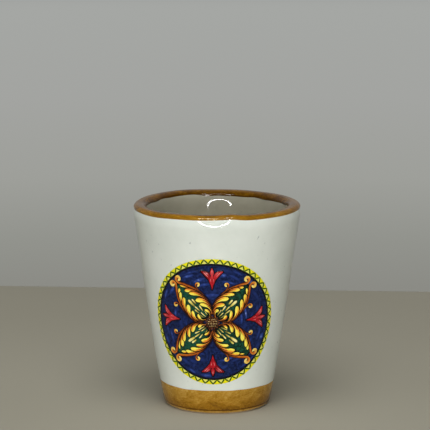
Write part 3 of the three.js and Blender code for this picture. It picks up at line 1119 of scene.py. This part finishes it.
table_finish, tree, shader = new_finish("table", Roughness=0.9, Specular_IOR_Level=0.0)
mottle = noise(tree, 7, detail=2)
top_tone = ramp(tree, mottle, (0.3, paint(167, 163, 147)), (0.7, paint(173, 169, 153)))
tree.links.new(top_tone, shader.inputs["Base Color"])
table_section = np.vstack(
    [
        [[-TABLE_SIDE, 0], [-TABLE_SIDE, -TABLE_DEPTH], [TABLE_BACK, -TABLE_DEPTH]],
        arc((TABLE_BACK - TABLE_EDGE, -TABLE_EDGE), TABLE_EDGE, 0, 90, 8),
    ]
)
table_rings = np.array(
    [[(x, y, z) for y, z in table_section] for x in (-TABLE_SIDE, TABLE_SIDE)]
)
points, quads, fans, _ = skin(table_rings)
stage_mesh("table", points.tolist(), quads.tolist() + fans.tolist(), table_finish)

LAMP_DISTANCE = 0.25  # from the lip, in metres like the lamp's other sizes
LAMP_RADIUS = 0.092
LAMP_TUBE = 0.004
LAMP_RISE = math.radians(10)  # how far up from level it stands, and how far it leans back
LAMP_STRENGTH = 60.0
glow = bpy.data.materials.new("lamp_glow")
glow.use_nodes = True
glow.node_tree.nodes.clear()
lamp_output = add(glow.node_tree, "ShaderNodeOutputMaterial")
lamp_light = add(glow.node_tree, "ShaderNodeEmission", {"Strength": LAMP_STRENGTH})
glow.node_tree.links.new(lamp_light.outputs[0], lamp_output.inputs["Surface"])

around = np.linspace(0, 2 * np.pi, 96, endpoint=False)[:, None]
section = np.linspace(0, 2 * np.pi, 12, endpoint=False)
reach = LAMP_RADIUS + LAMP_TUBE * np.cos(section)
depth = np.broadcast_to(LAMP_TUBE * np.sin(section), (96, 12))
lamp_ring = np.stack([reach * np.cos(around), depth, reach * np.sin(around)], -1)
tilt = np.array(
    [
        [1, 0, 0],
        [0, math.cos(LAMP_RISE), math.sin(LAMP_RISE)],
        [0, -math.sin(LAMP_RISE), math.cos(LAMP_RISE)],
    ]
)
lamp_middle = (
    0,
    -LAMP_DISTANCE * math.cos(LAMP_RISE),
    LAMP_DISTANCE * math.sin(LAMP_RISE) + HEIGHT * MM,
)
points, quads, _, _ = skin(lamp_ring @ tilt + lamp_middle, loop=True)
lamp = stage_mesh("ring_lamp", points.tolist(), quads.tolist(), glow)
lamp.visible_camera = False
lamp.visible_diffuse = False
lamp.visible_shadow = False


def soft_light(name, place, aim, size, power):
    """A rectangular softbox, in metres, that faces a point. Neither the camera nor the glaze
    sees it, so it only spreads light."""
    light = bpy.data.lights.new(name, "AREA")
    light.shape = "RECTANGLE"
    light.size, light.size_y = size
    light.energy = power
    holder = bpy.data.objects.new(name, light)
    holder.location = place
    holder.rotation_euler = (Vector(aim) - Vector(place)).to_track_quat("-Z", "Y").to_euler()
    holder.visible_glossy = False
    holder.visible_camera = False
    SCENE.collection.objects.link(holder)


soft_light("low_front", (0.0, -0.9, 0.07), (0, 0, 0.04), (1.2, 0.08), 6.0)
soft_light("overhead", (0.0, -0.35, 0.8), (0, -0.1, 0.0), (0.7, 0.7), 5.7)
soft_light("low_back", (0.0, 0.9, 0.12), (0, 0, 0.04), (1.2, 0.1), 1.8)

# The room's tone by the height of the line of sight. The backdrop is seen below the horizon, and
# above it a dim ambient lights the cup, with a paler room for the glaze to mirror.
AMBIENT = 0.02
MIRRORED = 0.3
BACKDROP = (  # the height of the line of sight, and its tone
    (-0.21, paint(139, 139, 133)),
    (-0.187, paint(146, 147, 141)),
    (-0.158, paint(158, 159, 154)),
    (-0.12, paint(163, 164, 161)),
    (-0.077, paint(165, 167, 164)),
    (0.05, 0.0),
)
world = bpy.data.worlds.new("studio")
world.use_nodes = True
tree = world.node_tree
direction = add(tree, "ShaderNodeTexCoord").outputs["Generated"]
_, forward, upward = add(tree, "ShaderNodeSeparateXYZ", {0: direction}).outputs
# A ramp runs from 0 to 1, so the heights from -0.25 to 0.25 are spread over it.
spread = sums(tree, "ADD", sums(tree, "MULTIPLY", upward, 2.0), 0.5)
tones = ramp(tree, spread, *((0.5 + 2 * level, tone) for level, tone in BACKDROP))
above = ramp(tree, upward, (0.0, 0.0), (0.06, 1.0))
behind = ramp(tree, forward, (0.0, AMBIENT), (0.5, MIRRORED))
glossy = add(tree, "ShaderNodeLightPath").outputs["Is Glossy Ray"]
room = blend(tree, glossy, (AMBIENT, AMBIENT, AMBIENT, 1), behind)
tree.links.new(blend(tree, above, tones, room), tree.nodes["Background"].inputs["Color"])
SCENE.world = world

# The camera stands a little to the right of the front and looks down on the lip.
CAMERA_TURN = 3.7  # degrees round the cup
CAMERA_PITCH = 10.15  # degrees down from level
CAMERA_PLACE = (-0.0006, -0.6, 0.1638)  # in metres, before it is turned
camera = bpy.data.objects.new("camera", bpy.data.cameras.new("camera"))
turn_c, turn_s = math.cos(math.radians(CAMERA_TURN)), math.sin(math.radians(CAMERA_TURN))
camera.location = (
    CAMERA_PLACE[0] * turn_c - CAMERA_PLACE[1] * turn_s,
    CAMERA_PLACE[0] * turn_s + CAMERA_PLACE[1] * turn_c,
    CAMERA_PLACE[2],
)
camera.rotation_euler = (math.radians(90 - CAMERA_PITCH), 0, math.radians(CAMERA_TURN))
camera.data.sensor_width = 36
camera.data.lens = 173.0
camera.data.clip_start = 0.01
SCENE.collection.objects.link(camera)
SCENE.camera = camera
SCENE.view_settings.view_transform = "Standard"
